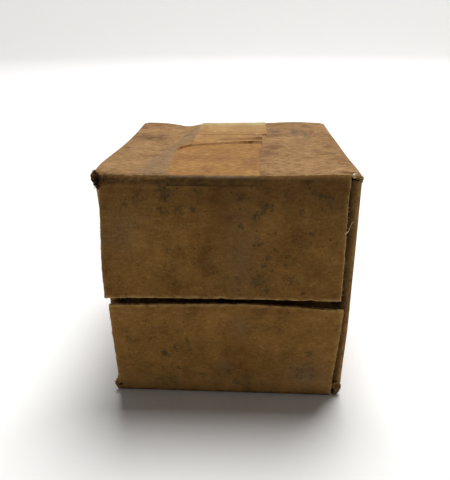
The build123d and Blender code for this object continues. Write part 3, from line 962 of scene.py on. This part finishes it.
for _ in range(TUFT_FIBRES):
    root = np.array(tuft) + chance.normal(size=3) * (0.1, 0.15, 0.06)
    turned = (0.7, -0.6, 0.5) + chance.normal(size=3) * 0.15
    corner_lines.append(fibre_line(root, turned, chance.uniform(0.7, 1.15), 0.25))
fibres("carton_fibres", corner_lines, "carton", 0.06)
flake = [np.array(tuft) + step
         for step in ((-0.35, 0.1, -0.1), (0, 0, 0.1), (0.35, -0.2, 0.12), (0.6, -0.4, -0.05))]
fibres("lifted_flake", [flake, [place + (0.1, 0.12, 0.18) for place in flake[:3]]], "carton", 0.3, flake_glint_white)

# %% [markdown]
# ## Tape
# Two strips of clear film tape hold the top and the back. Film tape yellows with age, and here it has also
# buckled: the damp board shrank under it, so it stands up in two sharp wrinkles. Each strip is a fine
# sheet that follows the crushed board, then the wrinkles lift it, and its thickness goes outwards.

# %% Tape finish
def aged_film():
    material, node = new_material("yellowed_film_tape")
    clouds = grain(node, 6, 3, 0.55, 3.0)
    streaks = grain(node, 1.0, 4, 0.65, 9.0, LONG_FIBRES)  # the board's fibres show through
    # over the film, warm and soot are partly painted shadow in front of the wrinkles, worn partly painted
    # highlight on their crests and glints, and haze partly painted shade on the front crease
    colour = lay(node, "#93683a", ((clouds, 0.36, 0.52, 1), "#a0733d"), ((clouds, 0.52, 0.68, 1), "#ad8048"),
                 ((streaks, 0.58, 0.36, 0.4), "#6d4a22", "MULTIPLY"), ((streaks, 0.52, 0.72, 0.25), "#dcb478"),
                 ("haze", "#989b8e", "MULTIPLY"), ("worn", "#d2b480"), ("warm", "#7a4b0c"),
                 ("mould", "#b3b08a"), ("soot", "#30220f"))
    creases = grain(node, 1.0, 2, 0.5, 14.0, (3.0, 0.9, 0.9))
    bump = node("Bump", {"Strength": 0.6, "Distance": 0.12 * MM, "Height": creases})
    gloss = node("MapRange", (grain(node, 2.0, 2, 0.5, 5.0), 0.35, 0.7, 0.5, 0.72), **SMOOTH)
    node("OutputMaterial", (node("BsdfPrincipled", {
        "Base Color": colour, "Roughness": gloss, "Specular IOR Level": 0.1, "Coat Weight": 0.02,
        "Coat Roughness": 0.35, "Normal": bump}),))
    return material


film = aged_film()
print("tape finish", film.name)

# %% Tape strips
tape_high = box_mm("tape_front_strip")[1]
back_low, back_high = box_mm("tape_back_strip")
TAPE = tape_high[2] - height
TAPE_X, TAPE_WIDTH, TAIL_LENGTH = -12, 19, 1.9
EDGE_Y = (-29, -10, -5.5, -3, 0, 3, 29)  # the front strip's edges run through these places
LEFT_EDGE_X, RIGHT_EDGE_X = (-12.5, -13.0, -13.0, -12.1, -10.1, -9.8, -9.7), (6.4, 6.8, 7.1, 7.3, 7.6, 7.9, 8.0)
RIDGE_X = (-13.2, -12, -10, -7.5, -5, -2.5, 0, 4, 8.2)  # and the first wrinkle's crest through these
RIDGE_Y = (-6.4, -3.6, -1.0, -0.2, 0.3, 0.8, 1.2, 1.6, 1.3)


def behind_crests(x, y):
    """How far behind the first wrinkle's crest a place lies, and behind the second's."""
    return y - np.interp(x, RIDGE_X, RIDGE_Y), y - 5.7 - 0.04 * x


def wrinkles(rest):
    """How high the film stands off the board: steep in front of each wrinkle, slack behind it."""
    x, y = rest[:, 0], rest[:, 1]
    first, second = behind_crests(x, y)
    first = ramp(first, -0.4, 0.05) * (1 - ramp(first, 0.15, 1.7)) * (0.38 + 0.22 * ramp(x, -2, 7))
    second = ramp(second, -0.45, 0.05) * (1 - ramp(second, 0.2, 1.8))
    second *= 0.32 * ramp(x, -5, -2) + 0.26 * ramp(x, 3, 7.5)
    return first + second + 0.05 * (1 + ripple(rest / (3, 1, 1), 1.2, 6.0)) * ramp(y, -1, 12)


def film_strip(name, node, stops, width, pitch, own_edges=True, body="carton", overlap=0.0):
    piece = strip(name, stops, (width, 0, 0), pitch)
    rest = places(piece)
    if own_edges:
        share = (rest[:, 0] - TAPE_X) / TAPE_WIDTH
        left_x, right_x = [np.interp(rest[:, 1], EDGE_Y, edge) for edge in (LEFT_EDGE_X, RIGHT_EDGE_X)]
        rest[:, 0] = left_x + share * (right_x - left_x)
        rest = ragged(rest, (share < 1e-4) | (share > 1 - 1e-4), (1, 0, 0), 0.06, 1.1)
    note_rest(piece, rest)
    paint(piece, **tape_faults(rest))
    where = crush(rest)
    where = soften_front(where, height, soft_crease(rest[:, 0]))
    on_top = ramp(rest[:, 2], height - 0.5, height - 0.05)
    where[:, 2] += (wrinkles(rest) + overlap * ramp(rest[:, 1], 9, 12)) * on_top
    put(piece, where)
    piece.data.materials.append(film)
    use_modifier(piece, "SOLIDIFY", thickness=TAPE * MM, offset=1, use_even_offset=True)
    smooth(piece, 50)
    if body:
        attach(piece, body)
    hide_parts(node)
    print(name, len(piece.data.polygons), "faces")
    return piece


# painted highlights on the film: (x, y / 3, radius, strength)
GLINTS = [(-5, 5.2, 0.3, 0.5), (-9, 3.6, 0.25, 0.4), (6.6, 4.1, 0.3, 0.5), (-3.3, 1.1, 0.3, 0.4)]


def tape_faults(rest):
    x, y, z = rest.T
    first, second = behind_crests(x, y)
    # painted shadow at the foot of each wrinkle, in front of it, and a painted highlight along the first one's
    # crest
    first_foot_shadow = hill(first, -0.25, 0.5)
    crest = hill(first, 0.7, 0.7) * (0.3 + 0.7 * hill(x, -6.5, 3))
    second_foot_shadow = hill(second, -0.25, 0.35) * (0.75 * ramp(x, -4.5, -2) + 0.5 * ramp(x, 3, 7))
    far = ramp(y, 22, 27) * ramp(z, height - 1, height - 0.3)
    far *= 0.35 + 0.65 * ramp(ripple(rest / (1, 3, 1), 1.6, 4.0), -0.3, 0.4)
    on_flap = ramp(-y, 28.3, 28.8)
    on_top = ramp(z, height - 2.5, height - 0.5)
    glints = rounds_at(x, y / 3, GLINTS)  # three times as long as they are wide
    return {
        # warm and soot at the wrinkles' feet are painted shadow; worn on the crest and the glints is painted
        # highlight
        "warm": 0.95 * first_foot_shadow + 0.85 * second_foot_shadow + 0.25 * hill(x, -8, 1) * ramp(y, 14, 18)
        + 0.16 * (1 - on_top) * ramp(y, 20, 28),
        "worn": 0.6 * crest + glints + 0.12 * on_top * (ramp(y, 3, 5) + ramp(y, 14, 18)) + 0.3 * far,
        "mould": 0.5 * far,
        "soot": 0.35 * second_foot_shadow * ramp(x, 5.5, 7.8) + 0.5 * on_flap * hill(z, height - 1.75, 0.22)
        + broken(0.35 * on_flap * (1 - ramp(x, -9, 2)), rest, (0.9, 0.6, 0.6), 2.0, 0.1),
        # haze darkens the film where it turns over the front crease: partly the darker front flap beneath it,
        # partly painted shade on the crease
        "haze": ramp(-y, 27.7, 28.5),
    }


film_strip("tape_front_film", "tape_front_strip",
           [(TAPE_X, top_seam, height), (TAPE_X, tape_high[1] + 1.2, height)], TAPE_WIDTH, 0.22)
back_x = back_low[0] + 0.1
film_strip("tape_back_film", "tape_back_strip",
           [(back_x, tape_high[1] + 0.2, height), (back_x, back, height), (back_x, back, back_low[2])],
           back_high[0] - back_low[0], 0.28, False, overlap=0.06)
tail_end = Vector((TAPE_X, front, height))
tail_end += (Vector(top_end) - Vector((top_end[0], front, height))).normalized() * TAIL_LENGTH
tail = film_strip("tape_tail_film", "tape_tail",
                  [(TAPE_X, top_seam, height), (TAPE_X, front, height), tail_end], TAPE_WIDTH, 0.25, body=None)
bend_at_crease(tail)

# %% [markdown]
# ## Rosin and its cup
# The rosin is cast as a thick round cake and sits in a fluted paper cup, like a bun. Both are round about
# one line, so each is a profile, drawn point by point and spun. The cup's wall is then pressed into flutes.

# %% Spinning a profile
rosin_low, rosin_high = box_mm("rosin_cake")
cup_low, cup_high = box_mm("paper_cup")
AXIS_Z = (rosin_low[2] + rosin_high[2]) / 2
ROSIN_RADIUS = (rosin_high[0] - rosin_low[0]) / 2
CUP_RADIUS = (cup_high[0] - cup_low[0]) / 2


def spun(name, profile, steps):
    """profile is (distance from the axis, y) in millimetres; the axis runs along Y at AXIS_Z."""
    piece = begin(name, "plane", size=1, enter_editmode=True)
    bpy.ops.mesh.select_mode(type="VERT")
    bpy.ops.mesh.merge(type="CENTER")
    first = Vector((profile[0][0], profile[0][1], AXIS_Z))
    bmesh.from_edit_mesh(piece.data).verts[:][0].co = first * MM
    bpy.ops.mesh.select_all(action="SELECT")
    for (radius, y), (radius_before, y_before) in zip(profile[1:], profile):
        push_edge(Vector((radius - radius_before, y - y_before, 0)))
    bpy.ops.mesh.select_all(action="SELECT")
    bpy.ops.mesh.spin(steps=steps, angle=2 * math.pi, center=Vector((0, 0, AXIS_Z)) * MM, axis=(0, 1, 0))
    bpy.ops.mesh.select_all(action="SELECT")
    bpy.ops.mesh.remove_doubles(threshold=1e-6)
    bpy.ops.mesh.normals_make_consistent(inside=False)
    bpy.ops.object.mode_set(mode="OBJECT")
    return piece


def around(where):
    """(distance from the axis, angle round it)."""
    return np.hypot(where[:, 0], where[:, 2] - AXIS_Z), np.arctan2(where[:, 2] - AXIS_Z, where[:, 0])


def from_axis(where, distance, angle):
    where[:, 0], where[:, 2] = distance * np.cos(angle), AXIS_Z + distance * np.sin(angle)
    return where

# %% [markdown]
# Rosin is brown amber glass, brittle and glossy where it was cast, and dusted white where it was rubbed
# or knocked. The face has a low rim, because the melt climbs the mould, and the rim has small chips.

# %% Rosin finish
def rosin_finish():
    material, node = new_material("cast_amber_rosin")
    swirls = grain(node, 1.6, 3, 0.6, 3.0, (5, 2, 3))
    scratches = grain(node, 0.5, 2, 0.5, 5.0, (0.35, 1, 9))
    rubbed = node("MapRange", (scratches, 0.56, 0.7), **SMOOTH)
    rubbed = node("Math", (rubbed, node("Attribute", out="Fac", attribute_name="worn")), **TIMES)
    crumbs = node("Math", (specks(node, 1.1, 0.22, 0.7), 0.8), **TIMES)
    chipped = node("Math", (node("Attribute", out="Fac", attribute_name="haze"), 0.6), **TIMES)
    dust = node("Math", (node("Math", (rubbed, crumbs), operation="MAXIMUM"), chipped), operation="MAXIMUM")
    colour = lay(node, "#6b2b08", ((grain(node, 14, 2, 0.5), 0.35, 0.65, 1), "#a9580f"),
                 ((swirls, 0.5, 0.75, 0.5), "#b36a1c"), (dust, "#e2c79a"))
    gloss = node("MapRange", (dust, 0, 1, 0.12, 0.75), **SMOOTH)
    bump = node("Bump", {"Strength": 0.5, "Distance": 0.08 * MM, "Height": scratches})
    bump = node("Bump", {"Strength": 0.4, "Distance": 0.3 * MM, "Height": swirls, "Normal": bump})
    node("OutputMaterial", (node("BsdfPrincipled", {
        "Base Color": colour, "Roughness": gloss, "IOR": 1.54, "Subsurface Weight": 0.25,
        "Subsurface Scale": 0.003, "Coat Weight": 0.05, "Coat Roughness": 0.1, "Normal": bump}),))
    return material


def chamfer(radius, y, size, steps=4, inward=1):
    """A rounded edge of a profile, from the face at y outwards to the wall at radius."""
    turns = [math.pi / 2 * i / steps for i in range(steps + 1)]
    return [(radius - size + size * math.sin(t), y + inward * size * (1 - math.cos(t))) for t in turns]


RIM, WALL_STEPS, ROSIN_STEPS = 1.2, 8, 144
HOLLOW = ((0, 0.5), (4, 0.5), (8, 0.5), (12, 0.48), (15, 0.45), (18, 0.36), (20, 0.2), (21.2, 0.04))
face_y, foot_y = rosin_low[1], rosin_high[1]
face_profile = [(reach, face_y + sunk) for reach, sunk in HOLLOW]
wall = [(ROSIN_RADIUS, face_y + RIM + step * (foot_y - face_y - 2 * RIM) / WALL_STEPS)
        for step in range(1, WALL_STEPS)]
back_edge = chamfer(ROSIN_RADIUS, foot_y, RIM, inward=-1)[::-1]
profile = face_profile + chamfer(ROSIN_RADIUS, face_y, RIM) + wall + back_edge + [(12, foot_y), (0, foot_y)]
rosin = spun("rosin_cast", profile, ROSIN_STEPS)
where = places(rosin)
note_rest(rosin, where)
distance, angle = around(where)
on_rim = hill(distance, ROSIN_RADIUS - 0.5, 1.1) * (where[:, 1] < face_y + 3)
chips = ramp(ripple(where, 1.6, 2.0), 0.28, 0.6) * on_rim
face_share = ramp(face_y + 1.5 - where[:, 1], 0, 1)
paint(rosin, worn=face_share * hill(where[:, 0], 1.5, 7) * 0.8, haze=chips)
where = from_axis(where, distance - 0.35 * chips - 0.1 * (ripple(where, 3.5, 4.0) > 0.3) * on_rim, angle)
where[:, 1] += 0.5 * chips + 0.05 * (1 + ripple(where, 6, 8.0)) * face_share
put(rosin, where)
rosin.data.materials.append(rosin_finish())
smooth(rosin, 35)
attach(rosin, "rosin")
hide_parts("rosin_cake")
print("rosin", len(rosin.data.polygons), "faces, radius", ROSIN_RADIUS)

# %% [markdown]
# The cup is thin greaseproof paper. Its pleats are sharp at the mouth and die out at the base, and rosin
# dust has settled in them.

# %% Paper cup
FLUTES, FLUTE_DEPTH, PAPER = 48, 1.55, 0.14
CUP_STEPS, STEPS_IN_FLUTE = 14, 8


def cup_finish():
    material, node = new_material("greaseproof_cup_paper")
    fibre_grain = grain(node, 1.0, 3, 0.6, 2.0, (0.4, 2.2, 0.4))
    grease = node("MapRange", (grain(node, 3.5, 2, 0.5, 6.0), 0.55, 0.7, 0, 0.5), **SMOOTH)
    colour = lay(node, "#c9b48a", ((grain(node, 8, 2, 0.5), 0.35, 0.65, 1), "#d8c8a2"),
                 ((fibre_grain, 0.4, 0.75, 0.35), "#a98f60"), ("warm", "#9c6526"), (grease, "#a67c42"))
    bump = node("Bump", {"Strength": 0.5, "Distance": 0.05 * MM, "Height": fibre_grain})
    gloss = node("MapRange", (grease, 0, 0.5, 0.62, 0.4), **SMOOTH)
    node("OutputMaterial", (node("BsdfPrincipled", {"Base Color": colour, "Roughness": gloss,
                                                    "Specular IOR Level": 0.35, "Normal": bump}),))
    return material


mouth, base = cup_low[1] + 0.3, cup_high[1]
wall = [(CUP_RADIUS, mouth + (base - mouth) * step / CUP_STEPS) for step in range(CUP_STEPS + 1)]
profile = wall + [(CUP_RADIUS - 0.8, base), (20, base), (10, base), (0, base)]
cup = spun("fluted_cup", profile, FLUTES * STEPS_IN_FLUTE)
where = places(cup)
note_rest(cup, where)
distance, angle = around(where)
turn = angle * FLUTES / (2 * math.pi)
wave = 2 * np.abs(2 * (turn - np.floor(turn + 0.5))) - 1
share = (base - where[:, 1]) / (base - mouth)
on_wall = distance > ROSIN_RADIUS
uneven = ripple(np.column_stack((np.cos(angle) * 9, share * 1.5, np.sin(angle) * 9)), 1.0, 3.0)
floor_radius = ROSIN_RADIUS + 0.12 + PAPER
press = floor_radius + FLUTE_DEPTH * (0.35 + 0.65 * share) * (0.5 + 0.5 * wave) * (1 + 0.12 * uneven)
distance = np.where(on_wall, np.minimum(press, CUP_RADIUS - 0.05), np.minimum(distance, floor_radius))
where = from_axis(where, distance, angle)
where[:, 1] += np.where(on_wall, (0.35 * np.abs(wave) + 0.15 * uneven) * ramp(share, 0.9, 1.0), 0)
paint(cup, warm=0.6 * ramp(-share, -0.9, 0.0) * on_wall * ramp(-wave, -0.5, 1))
put(cup, where)
cup.data.materials.append(cup_finish())
use_modifier(cup, "SOLIDIFY", thickness=PAPER * MM, offset=-1)
smooth(cup, 30)
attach(cup, "rosin")
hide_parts("paper_cup")
print("cup", len(cup.data.polygons), "faces")

# %% [markdown]
# ## Studio
# The carton stands on a white sweep: a floor that curves up behind it with no corner, so no line shows.
# One large soft lamp above and behind lights the top. The white floor throws its light back on the front.

# %% Sweep
FLAT_FLOOR, CURVE, CURVE_STEPS = 1.2, 0.45, 20
sweep = begin("sweep", "circle", vertices=96, radius=FLAT_FLOOR, fill_type="NOTHING", enter_editmode=True)
pick("edges", lambda edge: True)
radius = FLAT_FLOOR
for step in range(1, CURVE_STEPS + 1):
    turn = math.pi / 2 * step / CURVE_STEPS
    onward = FLAT_FLOOR + CURVE * math.sin(turn)
    rise = CURVE * (math.cos(turn - math.pi / 2 / CURVE_STEPS) - math.cos(turn))
    bpy.ops.mesh.extrude_region_move(TRANSFORM_OT_translate={"value": (0, 0, rise)})
    bpy.ops.transform.resize(value=(onward / radius, onward / radius, 1))
    radius = onward
pick("edges", lambda edge: middle(edge).z < 1e-6 and along(edge).z < 1e-6)
bpy.ops.mesh.edge_face_add()
bpy.ops.mesh.select_all(action="SELECT")
bpy.ops.mesh.normals_make_consistent(inside=True)
bpy.ops.object.mode_set(mode="OBJECT")
smooth(sweep, 60)
paper, node = new_material("white_sweep_paper")
node("OutputMaterial", (node("BsdfPrincipled", {"Base Color": "#f6f5f3", "Roughness": 0.85}),))
sweep.data.materials.append(paper)
print("sweep reaches", [round(max(vertex.co[axis] for vertex in sweep.data.vertices), 2) for axis in range(3)])

# %% Lamp
world = bpy.data.worlds.new("studio")
bpy.context.scene.world = world
world.use_nodes = True
background = world.node_tree.nodes["Background"].inputs
background["Color"].default_value, background["Strength"].default_value = (1, 1, 1, 1), 0.08
light = bpy.data.lights.new("key", "AREA")
light.shape, light.size, light.energy = "DISK", 0.9, 31
key = bpy.data.objects.new("key", light)
key.location = (0.15, 0.55, 1.5)
key.rotation_euler = (Vector((0, 0, 0.03)) - key.location).to_track_quat("-Z", "Y").to_euler()
bpy.context.scene.collection.objects.link(key)
bpy.context.scene.view_settings.view_transform = "Standard"
